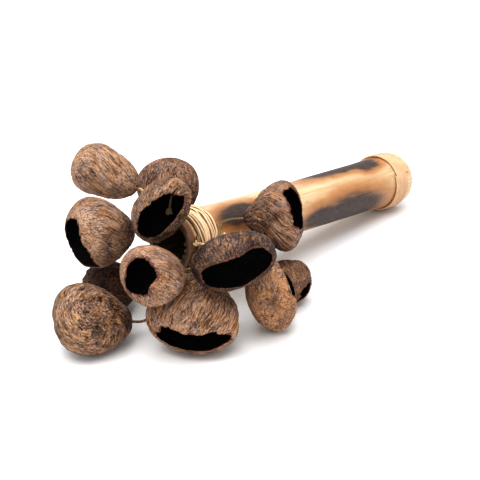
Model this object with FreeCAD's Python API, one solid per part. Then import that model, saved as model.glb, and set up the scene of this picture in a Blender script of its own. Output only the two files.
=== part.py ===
import FreeCAD, Part
import math
import os

# Nutshell cluster rattle: a bamboo grip with twelve hollow, broken nutshells tied on cords
# round its front end. The rattle lies on a flat floor, propped by its shells and its butt.
# Millimetres and degrees. +Z is up, +X runs along the grip from its open rim to its butt.

Vec = FreeCAD.Vector

# ---- grip ----
GRIP_LENGTH = 228.0      # sawn rim to sawn butt
RIM_RADIUS = 17.0        # outside of the culm at its open rim
BUTT_RADIUS = 18.0       # outside of the culm at its butt
CULM_WALL = 3.2
LEAN = 7.0               # the grip runs down to its butt by this angle
NODE_PLACE = 214.0       # inner wall of the bamboo node, measured from the rim
NODE_THICKNESS = 3.5
RIM_EASE = 0.5           # rounded saw edges
WAIST = 0.9              # how much slimmer the culm is between its bindings
WAIST_MARGIN = 2.0       # between a binding and the place where the culm slims
FLARE_LENGTH = 14.0      # in which it swells again towards the bamboo node

# ---- bindings: natural cord wound close round the culm ----
STRAND = 1.95            # spacing of the turns
STRAND_HEIGHT = 1.7
BINDING_SEAT = 0.05      # between a binding and the culm
FRONT_START = 4.5
FRONT_TURNS = 10
REAR_START = 206.5
REAR_TURNS = 8

# ---- cords and their knots ----
CORD_DIAMETER = 1.6
HOLE_CLEARANCE = 0.3     # all round a cord in its hole
HOLE_SETBACK = 2.4       # centre of the drilled holes behind the rim
HITCH_RADIUS = 1.65      # knot outside the culm, where a cord swings
KNOT_CLEARANCE = 0.35    # between a knot and the skin it bears on
ANCHOR_RADIUS = 1.8      # knot inside the culm
STOPPER_RADIUS = 2.5     # knot inside a nutshell
CORD_END_RADIUS = 0.9    # rounded end of the cord at the nut, where the nut swings
JOIN_GAP = 0.1           # between two lengths of one cord that swing on each other
ARC_SHARE = 0.45         # share of the shorter run that a bend takes up

# ---- nutshells ----
NUT_SCALE = 1.0          # size of all nutshells
NUT_WALL = 1.9
EYE_RADIUS = 1.15        # the hole at the apex that the cord comes through
EYE_STANDOFF = 1.2       # swing point outside the apex
CLUSTER_DATUM = 47.0     # height of the rim's centre that the places below are given for

# Each nut: centre; heading and rise of its axis from apex to crown, roll about that axis;
# length, width and thickness; how much fuller the crown is than the apex; then its broken
# opening: tilt from the axis, turn round it, roll; half length, half width; how square its
# outline is, how ragged it is, and where the raggedness starts.
NUTS = {
    1: ((3, 54, 76), (124, 24, 115), (45, 33, 32), 0.30,
        (60, 129, -19), (13, 8), 2.2, 0.10, 0.4),
    2: ((44, 43, 55), (59, 56, 164), (43, 41, 34), 0.15,
        (62, 53, 10), (13, 8), 2.2, 0.12, 1.1),
    3: ((-12, -7, 76), (-156, -2, 54), (38, 44, 31), 0.12,
        (14, -27, -4), (16.5, 8.6), 2.8, 0.08, 2.0),
    4: ((-27, 27, 56), (167, 14, 121), (45, 43, 37), 0.25,
        (24, 161, 10), (15.5, 11), 2.4, 0.10, 2.6),
    5: ((-40, -28, 52), (174, 11, -5), (37, 40, 34), 0.20,
        (17, 34, 88), (10, 9), 2.3, 0.12, 3.3),
    6: ((-5, -53, 57), (-128, -8, 15), (37, 51, 34), 0.12,
        (4, 51, 6), (21, 9.5), 2.4, 0.08, 4.1),
    7: ((54, -32, 56), (-40, 0, 65), (39, 44, 36), 0.45,
        (41, 71, 12), (14, 7), 2.4, 0.10, 4.9),
    8: ((-54, 7, 18), (160, 18, 140), (51, 45, 32), 0.25,
        (52, 102, -29), (8, 5), 2.2, 0.14, 5.4),
    9: ((-17, -35, 23), (-156, -43, -12), (51, 55, 35), 0.16,
        (21, 68, 1), (20, 6.5), 2.6, 0.12, 0.9),
    10: ((27, -53, 24), (-130, -3, 104), (38, 48, 31), 0.20,
         (74, -60, -20), (11, 6.5), 2.3, 0.12, 1.7),
    11: ((58, -39, 15), (-80, -4, 20), (34, 31, 29), 0.20,
         (11, -138, 39), (7, 4.5), 2.2, 0.12, 2.3),
    12: ((-15, 34, 16), (198, 8, 0), (40, 36, 32), 0.20,
         (80, 167, -30), (11, 7), 2.2, 0.12, 3.0),
}

# Angle of each cord's hole round the grip, from +Y towards the top.
HOLES = {1: 50, 2: -8, 3: 80, 4: 22, 5: -137, 6: 163, 7: 183, 8: -76, 9: 203, 10: -117,
         11: -96, 12: -42}

# Route of each cord between its first run, straight out of its hole, and its last run,
# straight on to the nut: length of the first run, points between, length of the last run.
ROUTES = {
    1: (8.4, [(17, 24, 66)], 6.1),
    2: (8.7, [(16.5, 31, 36.5), (29.5, 26, 30)], 4.5),
    3: (4.4, [(1, 8, 75.5), (4.5, 12.5, 80), (12, 11, 80)], 7.3),
    4: (6.4, [(7.5, 29, 54.5), (9.5, 30, 48), (6, 25, 44.5)], 5.4),
    5: (6.2, [(5, -28, 31), (6.5, -30.5, 42), (-3, -32.5, 46)], 8.5),
    6: (6.5, [(9, -27, 49), (15.5, -28.5, 53.5)], 8.2),
    7: (6.6, [(7.5, -30.5, 52.5), (21, -20, 57.5)], 7.0),
    8: (8.1, [(-9.5, 7.5, 17.5), (-17, -4.5, 12)], 5.3),
    9: (7.1, [(8.5, -26.5, 33), (13.5, -26.5, 38), (11, -26.5, 44.5)], 4.8),
    10: (7.6, [(12, -17, 19), (37, -19.5, 24.5)], 7.9),
    11: (10.9, [(9, -5.5, 13), (16.5, -11, 22), (34.5, -5, 20.5), (45.5, -10.5, 18)], 7.3),
    12: (6.6, [(10, 25.5, 26), (17.5, 38.5, 17)], 6.4),
}


# ---- places that follow from the sizes ----
DOWN = math.radians(LEAN)
ALONG = Vec(math.cos(DOWN), 0, -math.sin(DOWN))
SIDE = Vec(0, 1, 0)
OVER = Vec(math.sin(DOWN), 0, math.cos(DOWN))
RIM_HEIGHT = ((BUTT_RADIUS + STRAND_HEIGHT) * math.cos(DOWN)
              + (GRIP_LENGTH - 4.0) * math.sin(DOWN))
RIM = Vec(0, 0, RIM_HEIGHT)
HOLE_RADIUS = CORD_DIAMETER / 2 + HOLE_CLEARANCE


def culm_radius(place):
    """Outside radius of the culm at a distance from its rim."""
    return RIM_RADIUS + (BUTT_RADIUS - RIM_RADIUS) * place / GRIP_LENGTH


HITCH_PLACE = culm_radius(HOLE_SETBACK) + KNOT_CLEARANCE + HITCH_RADIUS


def spread(point):
    """A listed place, moved clear of the grip and its neighbours when a size grows."""
    offset = Vec(point[0], point[1], point[2] - CLUSTER_DATUM) * max(1.0, NUT_SCALE)
    across = offset - ALONG * offset.dot(ALONG)
    across.normalize()
    return RIM + offset + across * max(0.0, RIM_RADIUS - 17.0)


def direction(heading, rise):
    """Unit vector from a compass heading and a rise, in degrees."""
    flat = math.cos(math.radians(rise))
    return Vec(flat * math.cos(math.radians(heading)), flat * math.sin(math.radians(heading)),
               math.sin(math.radians(rise)))


def around_grip(angle):
    """Unit vector square to the grip at an angle from +Y towards the top."""
    turn = math.radians(angle)
    return SIDE * math.cos(turn) + OVER * math.sin(turn)


def nut_axes(number):
    """Axis from apex to crown, width direction and thickness direction of a nut."""
    heading, rise, roll = NUTS[number][1]
    axis = direction(heading, rise)
    level = Vec(-axis.y, axis.x, 0)
    level.normalize()
    width = FreeCAD.Rotation(axis, roll).multVec(level)
    return axis, width, axis.cross(width)


def nut_sizes(number):
    """Half length, half width and half thickness of a nut."""
    return [NUT_SCALE * size / 2.0 for size in NUTS[number][2]]


def apex_of(number):
    """The point of a nut that its cord comes out of."""
    axis = nut_axes(number)[0]
    return spread(NUTS[number][0]) - axis * nut_sizes(number)[0]


def hitch_of(number):
    """Centre of the knot outside the culm, where a cord swings."""
    return RIM + ALONG * HOLE_SETBACK + around_grip(HOLES[number]) * HITCH_PLACE


def swing_of(number):
    """The point just outside the apex, where a nut swings on its cord."""
    return apex_of(number) - nut_axes(number)[0] * EYE_STANDOFF


# ---- grip ----
def on_grip(place, radius):
    """Point above the grip's axis, at a distance from the rim."""
    return RIM + ALONG * place + OVER * radius


def make_culm():
    """Bamboo tube with a slim waist, a closed node near its butt and a ring of holes."""
    slim_from = FRONT_START + FRONT_TURNS * STRAND + WAIST_MARGIN
    slim_to = REAR_START - WAIST_MARGIN
    slimmest = (slim_from + slim_to) / 2
    waist = Part.BSplineCurve()
    waist.interpolate(Points=[
        on_grip(slim_from, culm_radius(slim_from)),
        on_grip(slim_from + FLARE_LENGTH, culm_radius(slim_from + FLARE_LENGTH) - WAIST / 2),
        on_grip(slimmest, culm_radius(slimmest) - WAIST),
        on_grip(slim_to - 2 * FLARE_LENGTH, culm_radius(slim_to) - WAIST),
        on_grip(slim_to - FLARE_LENGTH / 2, culm_radius(slim_to) - WAIST / 2),
        on_grip(slim_to, culm_radius(slim_to))])
    eased = GRIP_LENGTH - RIM_EASE
    ridge = NODE_PLACE + NODE_THICKNESS / 2
    others = [(slim_to, culm_radius(slim_to)), (eased, culm_radius(eased)),
              (GRIP_LENGTH, BUTT_RADIUS - RIM_EASE),
              (GRIP_LENGTH, BUTT_RADIUS - CULM_WALL),
              (NODE_PLACE + NODE_THICKNESS, culm_radius(ridge) - CULM_WALL - 1),
              (NODE_PLACE + NODE_THICKNESS, 0), (NODE_PLACE, 0),
              (NODE_PLACE, culm_radius(ridge) - CULM_WALL - 1),
              (NODE_PLACE - 5, culm_radius(NODE_PLACE - 5) - CULM_WALL),
              (0, RIM_RADIUS - CULM_WALL), (0, RIM_RADIUS - RIM_EASE),
              (RIM_EASE, culm_radius(RIM_EASE)), (slim_from, culm_radius(slim_from))]
    rest = Part.makePolygon([on_grip(place, radius) for place, radius in others])
    profile = Part.Wire([waist.toShape()] + rest.Edges)
    culm = Part.Face(profile).revolve(RIM, ALONG, 360)
    for angle in HOLES.values():
        start = RIM + ALONG * HOLE_SETBACK + around_grip(angle) * (RIM_RADIUS - 2 * CULM_WALL)
        culm = culm.cut(Part.makeCylinder(HOLE_RADIUS, 3 * CULM_WALL, start,
                                          around_grip(angle)))
    return culm


def make_binding(start, turns):
    """Close-wound binding: one rounded ridge for each turn of the cord."""
    foot = BINDING_SEAT
    valley = STRAND_HEIGHT * 0.45
    end = start + turns * STRAND
    edges = []

    def at(place, height):
        return on_grip(place, culm_radius(place) + height)

    for turn in range(turns):
        left = start + turn * STRAND
        edges.append(Part.Arc(at(left, valley), at(left + STRAND / 2, STRAND_HEIGHT),
                              at(left + STRAND, valley)).toShape())
    edges.append(Part.makeLine(at(end, valley), at(end, foot)))
    edges.append(Part.makeLine(at(end, foot), at(start, foot)))
    edges.append(Part.makeLine(at(start, foot), at(start, valley)))
    return Part.Face(Part.Wire(edges)).revolve(RIM, ALONG, 360)


def make_anchor(number):
    """Knot inside the culm with the length of cord that fills its hole."""
    outward = around_grip(HOLES[number])
    foot = RIM + ALONG * HOLE_SETBACK
    seat = RIM_RADIUS - CULM_WALL - KNOT_CLEARANCE - ANCHOR_RADIUS
    knot = Part.makeSphere(ANCHOR_RADIUS, foot + outward * seat, outward)
    stub = Part.makeCylinder(CORD_DIAMETER / 2, culm_radius(HOLE_SETBACK) - seat,
                             foot + outward * seat, outward)
    return knot.fuse(stub)


# ---- nutshells ----
def egg_radius(place, fullness):
    """Radius of the egg at an angle from its apex, as a share of its widest radius."""
    steps = [math.radians(degree) for degree in range(0, 181, 3)]
    widest = max(math.sin(step) * (1 - fullness * math.cos(step)) for step in steps)
    return math.sin(place) * (1 - fullness * math.cos(place)) / widest


def egg_solid(half_length, half_width, half_thickness, fullness):
    """Egg along X, apex at -X, turned from a smooth profile and then flattened in Z."""
    points = []
    for step in range(24):
        place = math.pi * step / 12
        points.append(Vec(-half_length * math.cos(place),
                          half_width * egg_radius(place, fullness), 0))
    outline = Part.BSplineCurve()
    outline.interpolate(Points=points, PeriodicFlag=True)
    apex = outline.FirstParameter
    crown = outline.parameter(points[12])
    profile = outline.toShape(apex, crown)
    axis = Part.makeLine(profile.Vertexes[-1].Point, profile.Vertexes[0].Point)
    solid = Part.Face(Part.Wire([profile, axis])).revolve(Vec(0, 0, 0), Vec(1, 0, 0), 360)
    flat = FreeCAD.Matrix()
    flat.scale(1, 1, half_thickness / half_width)
    return solid.transformGeometry(flat)


def inside_egg(point, halves, fullness):
    """True where a point lies inside the egg's outer skin."""
    share = point.x / halves[0]
    if abs(share) >= 1:
        return False
    across = math.hypot(point.y / halves[1], point.z / halves[2])
    return across < egg_radius(math.acos(-share), fullness)


def opening_axes(number):
    """Outward, long and short directions of a nut's opening, in the nut's own axes."""
    tilt, turn, roll = [math.radians(angle) for angle in NUTS[number][4]]
    outward = Vec(math.cos(tilt), math.sin(tilt) * math.cos(turn),
                  math.sin(tilt) * math.sin(turn))
    first = Vec(0, 1, 0) - outward * outward.y
    first.normalize()
    second = outward.cross(first)
    long_way = first * math.cos(roll) + second * math.sin(roll)
    return outward, long_way, outward.cross(long_way)


def ragged(number, angle):
    """Half size of a nut's broken outline at an angle round it."""
    half_long, half_short = NUTS[number][5]
    square, rough, start = NUTS[number][6:9]
    blunt = (abs(math.cos(angle)) ** square + abs(math.sin(angle)) ** square) ** (-1 / square)
    waves = (math.sin(2 * angle + start) + math.sin(3 * angle + 1.7 * start)
             + 0.8 * math.sin(5 * angle + 2.3 * start)) / 2
    share = blunt * (1 + rough * waves) * NUT_SCALE
    return half_long * share * math.cos(angle), half_short * share * math.sin(angle)


def opening_cutter(number):
    """Cone from inside the nut through its ragged outline, so the wall breaks squarely."""
    halves = nut_sizes(number)
    fullness = NUTS[number][3]
    outward, long_way, short_way = opening_axes(number)
    slopes = []
    depths = []
    for step in range(24):
        across, up = ragged(number, math.radians(15 * step))
        while not inside_egg(long_way * across + short_way * up, halves, fullness):
            across, up = across * 0.97, up * 0.97
        low, high = 0.0, 3 * max(halves)
        for _ in range(30):
            middle = (low + high) / 2
            point = long_way * across + short_way * up + outward * middle
            if inside_egg(point, halves, fullness):
                low = middle
            else:
                high = middle
        depth = max(low, 0.4 * math.hypot(across, up))
        slopes.append((across / depth, up / depth))
        depths.append(depth)
    rings = []
    for reach in (0.5 * min(depths), 1.5 * max(halves)):
        points = [outward * reach + long_way * (reach * slope[0]) + short_way * (reach * slope[1])
                  for slope in slopes]
        curve = Part.BSplineCurve()
        curve.interpolate(Points=points, PeriodicFlag=True)
        rings.append(Part.Wire(curve.toShape()))
    return Part.makeLoft(rings, True, True)


def set_nut(shape, number):
    """Place a shape that is built along a nut's own axes."""
    axis, width, thick = nut_axes(number)
    centre = spread(NUTS[number][0])
    matrix = FreeCAD.Matrix(axis.x, width.x, thick.x, centre.x,
                            axis.y, width.y, thick.y, centre.y,
                            axis.z, width.z, thick.z, centre.z, 0, 0, 0, 1)
    placed = shape.copy()
    placed.Placement = FreeCAD.Placement(matrix)
    return placed


def make_nut(number):
    """Hollow egg with a ragged opening and an eye at its apex."""
    halves = nut_sizes(number)
    fullness = NUTS[number][3]
    outer = egg_solid(halves[0], halves[1], halves[2], fullness)
    inner = egg_solid(halves[0] - NUT_WALL, halves[1] - NUT_WALL, halves[2] - NUT_WALL,
                      fullness)
    shell = outer.cut(inner)
    shell = shell.cut(opening_cutter(number))
    eye = Part.makeCylinder(EYE_RADIUS, 3 * NUT_WALL, Vec(-halves[0] - NUT_WALL, 0, 0),
                            Vec(1, 0, 0))
    return set_nut(shell.cut(eye), number)


def make_stopper(number):
    """Knot inside a nut with the length of cord that fills its eye."""
    half_length = nut_sizes(number)[0]
    seat = -half_length + NUT_WALL + KNOT_CLEARANCE + STOPPER_RADIUS
    start = -half_length - EYE_STANDOFF + CORD_END_RADIUS + JOIN_GAP
    knot = Part.makeSphere(STOPPER_RADIUS, Vec(seat, 0, 0), Vec(1, 0, 0))
    stub = Part.makeCylinder(CORD_DIAMETER / 2, seat - start, Vec(start, 0, 0), Vec(1, 0, 0))
    return set_nut(knot.fuse(stub), number)


# ---- cords ----
def route_of(number):
    """Corner points of a cord from its hitch to the nut it carries."""
    first, between, last = ROUTES[number]
    start = hitch_of(number)
    end = swing_of(number)
    points = [start, start + around_grip(HOLES[number]) * first]
    points += [spread(point) for point in between]
    points += [end - nut_axes(number)[0] * last, end]
    return points


def make_cord(number):
    """Round cord on straight runs joined by tangent arcs, with a rounded end at the nut."""
    corners = route_of(number)
    thick = CORD_DIAMETER / 2
    here = corners[0] + around_grip(HOLES[number]) * (HITCH_RADIUS + JOIN_GAP)
    pieces = []
    bends = []
    length = 0.0
    for before, corner, after in zip(corners, corners[1:], corners[2:]):
        arriving = corner - before
        leaving = after - corner
        reach = ARC_SHARE * min(arriving.Length, leaving.Length)
        turn = arriving.getAngle(leaving)
        radius = reach / math.tan(turn / 2)
        arriving.normalize()
        leaving.normalize()
        start = corner - arriving * reach
        pole = arriving.cross(leaving)
        pole.normalize()
        section = Part.Face(Part.Wire(Part.makeCircle(thick, start, arriving)))
        pieces.append(Part.makeCylinder(thick, (start - here).Length, here, arriving))
        pieces.append(section.revolve(start + pole.cross(arriving) * radius, pole,
                                      math.degrees(turn)))
        bends.append(radius)
        length += (start - here).Length + radius * turn
        here = corner + leaving * reach
    last = corners[-1] - here
    pieces.append(Part.makeCylinder(thick, last.Length, here, last))
    length += last.Length
    tube = pieces[0].multiFuse(pieces[1:])
    print("cord %02d length %.1f bends %s volume share %.3f" % (
        number, length, " ".join("%.1f" % bend for bend in bends),
        tube.Volume / (math.pi * thick ** 2 * length)))
    return tube.fuse(Part.makeSphere(CORD_END_RADIUS, corners[-1], last)).removeSplitter()


def make_hitch(number):
    """Knot outside the culm that its cord swings on."""
    return Part.makeSphere(HITCH_RADIUS, hitch_of(number))


# ---- assembly ----
nodes = {"culm": make_culm(),
         "front_binding": make_binding(FRONT_START, FRONT_TURNS),
         "rear_binding": make_binding(REAR_START, REAR_TURNS),
         "anchor_knots": Part.makeCompound([make_anchor(number) for number in NUTS])}
for number in NUTS:
    nodes["nutshell_%02d" % number] = make_nut(number)
    nodes["stopper_knot_%02d" % number] = make_stopper(number)
    nodes["hitch_knot_%02d" % number] = make_hitch(number)
    nodes["cord_%02d" % number] = make_cord(number)

# The origin is under the middle of the rattle, on the floor; the free cords don't count.
box = FreeCAD.BoundBox()
for name, shape in nodes.items():
    if not name.startswith("cord"):
        box.add(shape.optimalBoundingBox(False))
shift = Vec(-(box.XMin + box.XMax) / 2, -(box.YMin + box.YMax) / 2, -box.ZMin)
print("size %.1f x %.1f x %.1f, shift %.3f %.3f %.3f" % (
    box.XLength, box.YLength, box.ZLength, shift.x, shift.y, shift.z))

os.makedirs("parts", exist_ok=True)
for name, shape in nodes.items():
    moved = shape.copy()
    moved.translate(shift)
    solids = len(moved.Solids)
    print("%-18s solids %d volume %.1f valid %s" % (name, solids, moved.Volume, moved.isValid()))
    moved.exportStep("parts/" + name + ".step")
for number in NUTS:
    hitch = hitch_of(number) + shift
    swing = swing_of(number) + shift
    print("pivots %02d hitch %.3f %.3f %.3f swing %.3f %.3f %.3f" % (
        number, hitch.x, hitch.y, hitch.z, swing.x, swing.y, swing.z))
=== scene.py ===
# %% [markdown]
# # A nutshell rattle on a bamboo grip
# A length of bamboo has twelve hollow, broken nutshells tied round its rim, and they knock on
# each other when it is shaken. The packed CAD model gives every size and place, so it is
# loaded first. Everything after that adds the looks: fibre, cord, scorched cane.

# %% Load the packed model
import math
from collections import namedtuple

import bpy
import numpy as np
from mathutils import Matrix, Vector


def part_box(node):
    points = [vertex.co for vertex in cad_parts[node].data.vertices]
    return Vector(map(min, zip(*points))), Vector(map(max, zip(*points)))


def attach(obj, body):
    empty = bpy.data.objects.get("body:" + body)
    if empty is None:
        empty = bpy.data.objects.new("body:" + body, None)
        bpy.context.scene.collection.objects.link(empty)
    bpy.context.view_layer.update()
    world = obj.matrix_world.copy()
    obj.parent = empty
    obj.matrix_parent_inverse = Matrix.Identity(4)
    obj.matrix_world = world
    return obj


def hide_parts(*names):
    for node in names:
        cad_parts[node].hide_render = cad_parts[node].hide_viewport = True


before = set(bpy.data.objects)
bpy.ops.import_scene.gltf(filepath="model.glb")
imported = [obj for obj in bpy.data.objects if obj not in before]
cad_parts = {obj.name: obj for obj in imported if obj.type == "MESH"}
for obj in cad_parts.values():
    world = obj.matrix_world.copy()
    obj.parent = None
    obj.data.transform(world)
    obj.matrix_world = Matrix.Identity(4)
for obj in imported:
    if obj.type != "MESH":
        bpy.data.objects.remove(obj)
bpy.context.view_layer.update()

MM = 0.001
TURN = 2 * math.pi

# %% [markdown]
# ## Directions on the grip
# The grip leans down towards its butt. Three unit vectors describe it: along it from rim to
# butt, to its side, and over it. The rim's centre follows from a knot whose angle and distance
# from it are known, so nothing is fitted by eye. Sizes are in millimetres, times MM where they
# become places.

# %% Grip directions and the rim's centre
LEAN = math.radians(7.0)
ALONG = np.array([math.cos(LEAN), 0.0, -math.sin(LEAN)])
SIDE = np.array([0.0, 1.0, 0.0])
OVER = np.array([math.sin(LEAN), 0.0, math.cos(LEAN)])
GRIP_LENGTH = 228.0
RIM_RADIUS = 17.0
BUTT_RADIUS = 18.0
CULM_WALL = 3.2
HOLE_SETBACK = 2.4
HITCH_RADIUS = 1.65
KNOT_CLEARANCE = 0.35
HOLES = {1: 50, 2: -8, 3: 80, 4: 22, 5: -137, 6: 163, 7: 183, 8: -76, 9: 203, 10: -117,
         11: -96, 12: -42}


def around_grip(angle):
    """Unit vectors square to the grip: cosine times side plus sine times over."""
    turn = np.radians(angle)
    return np.multiply.outer(np.cos(turn), SIDE) + np.multiply.outer(np.sin(turn), OVER)


def culm_radius(place):
    """Outside radius of the tapered culm: a straight line from rim to butt."""
    return RIM_RADIUS + (BUTT_RADIUS - RIM_RADIUS) * place / GRIP_LENGTH


HITCH_PLACE = culm_radius(HOLE_SETBACK) + KNOT_CLEARANCE + HITCH_RADIUS
knot_low, knot_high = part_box("hitch_knot_03")
RIM = (np.array(knot_low) + np.array(knot_high)) / 2 \
    - (ALONG * HOLE_SETBACK + around_grip(HOLES[3]) * HITCH_PLACE) * MM
print("rim centre", np.round(RIM, 4))

# %% [markdown]
# ## Camera
# The rattle is seen from the front and a little above. A long lens stands well back and keeps
# the near shells from looking too big beside the grip. The camera's three axes are the columns
# of its matrix, and the third points backwards, because a camera looks along its own -Z.

# %% Camera
LOOK_TURN = math.radians(41.0)
LOOK_DROP = math.radians(25.0)
LENS_LENGTH = 90.0
SENSOR_WIDTH = 36.0
NEAREST_SEEN = 0.02
CAMERA_FROM_RIM = np.array([-444.5, -440.1, 294.1]) * MM


def show(name, data):
    """A new object in the scene, made from its data."""
    thing = bpy.data.objects.new(name, data)
    bpy.context.scene.collection.objects.link(thing)
    return thing


def aim(thing, axes, place):
    """Turn an object to three axes, the columns of its matrix, and put it at a place."""
    matrix = np.eye(4)
    matrix[:3, :3] = np.stack(axes, axis=1)
    matrix[:3, 3] = place
    thing.matrix_world = Matrix(matrix.tolist())


ahead = np.array([math.cos(LOOK_DROP) * math.cos(LOOK_TURN),
                  math.cos(LOOK_DROP) * math.sin(LOOK_TURN), -math.sin(LOOK_DROP)])
rightward = np.array([math.sin(LOOK_TURN), -math.cos(LOOK_TURN), 0.0])
upward = np.cross(rightward, ahead)
lens = bpy.data.cameras.new("camera")
lens.lens = LENS_LENGTH
lens.sensor_width = SENSOR_WIDTH
lens.clip_start = NEAREST_SEEN
camera = show("camera", lens)
aim(camera, [rightward, upward, -ahead], RIM + CAMERA_FROM_RIM)
bpy.context.scene.camera = camera
print("camera", np.round(RIM + CAMERA_FROM_RIM, 3))

# %% [markdown]
# ## Repeatable roughness
# Natural things are uneven, but a script has to give the same rattle each time. So each
# corner of a unit lattice gets a number mixed from its own whole coordinates, and points
# between the corners blend those numbers. Blender has noise textures too, but this one can
# move thousands of points in one array operation.

# %% Lattice noise


def corner_value(i, j, k, seed):
    """A number from -1 to 1 for each lattice corner: products of primes, mixed by shifts."""
    mixed = (i * 73856093) ^ (j * 19349663) ^ (k * 83492791) ^ (seed * 40503)
    mixed = (mixed ^ (mixed >> 13)) & 0xFFFFFFFF
    mixed = (mixed * 1274126177) & 0xFFFFFFFF
    mixed = (mixed ^ (mixed >> 16)) & 0xFFFFFF
    return mixed / 8388607.5 - 1.0


def noise(points, seed=0):
    """Smooth noise from -1 to 1: the eight corner values round each point, blended by the
    fade curve 3t^2 - 2t^3 along each axis."""
    base = np.floor(points).astype(np.int64)
    part = points - base
    fade = part * part * (3 - 2 * part)
    total = np.zeros(points.shape[:-1])
    for corner in range(8):
        step = [corner & 1, corner >> 1 & 1, corner >> 2 & 1]
        weight = np.ones(points.shape[:-1])
        for axis in range(3):
            weight = weight * (fade[..., axis] if step[axis] else 1 - fade[..., axis])
        cell = [base[..., axis] + step[axis] for axis in range(3)]
        total += weight * corner_value(cell[0], cell[1], cell[2], seed)
    return total


def layered(points, layers, seed=0):
    """Noise plus half as much of it twice as fine, and so on, kept within -1 to 1."""
    shares = [0.5 ** layer for layer in range(layers)]
    parts = [share * noise(points / share, seed + layer)
             for layer, share in enumerate(shares)]
    return sum(parts) / sum(shares)


def on_circle(turn, reach, height):
    """Places round a circle: cosine and sine of the turn times the reach, and a height."""
    return np.stack(np.broadcast_arrays(reach * np.cos(turn), reach * np.sin(turn), height),
                    axis=-1)


def ring_noise(turn, cells, row, seed):
    """Noise round a closed ring: read on a circle, so that it meets itself."""
    return noise(on_circle(turn, cells / TURN, row), seed)


print("noise spans", np.round(np.ptp(noise(np.random.default_rng(1).random((999, 3)) * 9)), 2))

# %% [markdown]
# ## Pieces made of closed tubes
# Cord, winding and shell are all one kind of surface: rings of points one after another,
# closed at each end by a fan to one more point. The signed volume of a closed surface is
# negative when its faces point inwards, and then every face is reversed.

# %% Faces of a closed tube


def tube_faces(rings, around):
    """Corner numbers of a closed tube: squares between neighbouring rings, and a fan from
    each end ring to its own end point. The two end points come after all rings."""
    ring = np.arange(rings - 1)[:, None] * around
    here = np.arange(around)[None, :]
    after = (here + 1) % around
    squares = np.stack([ring + here, ring + after, ring + around + after,
                        ring + around + here], axis=-1).reshape(-1, 4)
    first, last, top = rings * around, rings * around + 1, (rings - 1) * around
    fans = np.concatenate([
        np.stack([np.full(around, first), after[0], here[0]], axis=1),
        np.stack([np.full(around, last), top + here[0], top + after[0]], axis=1)])
    return squares, fans


def signed_volume(points, faces):
    """Sum over a fan of triangles in each face of a . (b x c) / 6."""
    total = 0.0
    for corner in range(1, faces.shape[1] - 1):
        a, b, c = points[faces[:, 0]], points[faces[:, corner]], points[faces[:, corner + 1]]
        total += np.einsum("ij,ij->", a, np.cross(b, c)) / 6
    return total


print("a closed tube of 3 rings of 8 has", sum(len(part) for part in tube_faces(3, 8)), "faces")

# %% One object from closed tubes


def make_piece(name, tubes, body, finish, stands_for):
    """One object from closed tubes, which stands for CAD nodes. A tube is its rings, its two
    end points and its marks: named values at each ring point, which the finish reads. An end
    point's mark is the mean of its ring's."""
    points, faces, marks, offset = [], [], {}, 0
    for rings, ends, values in tubes:
        count, around = rings.shape[:2]
        flat = np.concatenate([rings.reshape(-1, 3), ends])
        squares, fans = tube_faces(count, around)
        middle = flat.mean(axis=0)
        if signed_volume(flat - middle, squares) + signed_volume(flat - middle, fans) < 0:
            squares, fans = squares[:, ::-1], fans[:, ::-1]
        points.append(flat)
        faces += (squares + offset).tolist() + (fans + offset).tolist()
        for mark, value in values.items():
            closed = np.concatenate([value.reshape(count * around, -1),
                                     value[[0, -1]].mean(axis=1).reshape(2, -1)])
            marks.setdefault(mark, []).append(closed)
        offset += len(flat)
    mesh = bpy.data.meshes.new(name)
    mesh.from_pydata(np.concatenate(points), [], faces)
    mesh.polygons.foreach_set("use_smooth", np.ones(len(mesh.polygons), bool))
    for mark, values in marks.items():
        values = np.concatenate(values)
        wide = values.shape[1] == 3
        store = mesh.attributes.new(mark, "FLOAT_VECTOR" if wide else "FLOAT", "POINT")
        store.data.foreach_set("vector" if wide else "value", values.ravel())
    mesh.materials.append(finish)
    piece = show(name, mesh)
    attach(piece, body)
    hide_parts(*stands_for)
    return piece


print("pieces will join the frame's", len(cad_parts), "nodes")

# %% [markdown]
# ## Writing finishes as arithmetic
# A finish is a node tree. Placing hundreds of nodes by hand hides the idea, so a small class
# wraps an output socket: adding or multiplying two of them adds a Math node. Any other node
# comes from the one method, node().

# %% Sockets that do arithmetic


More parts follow.
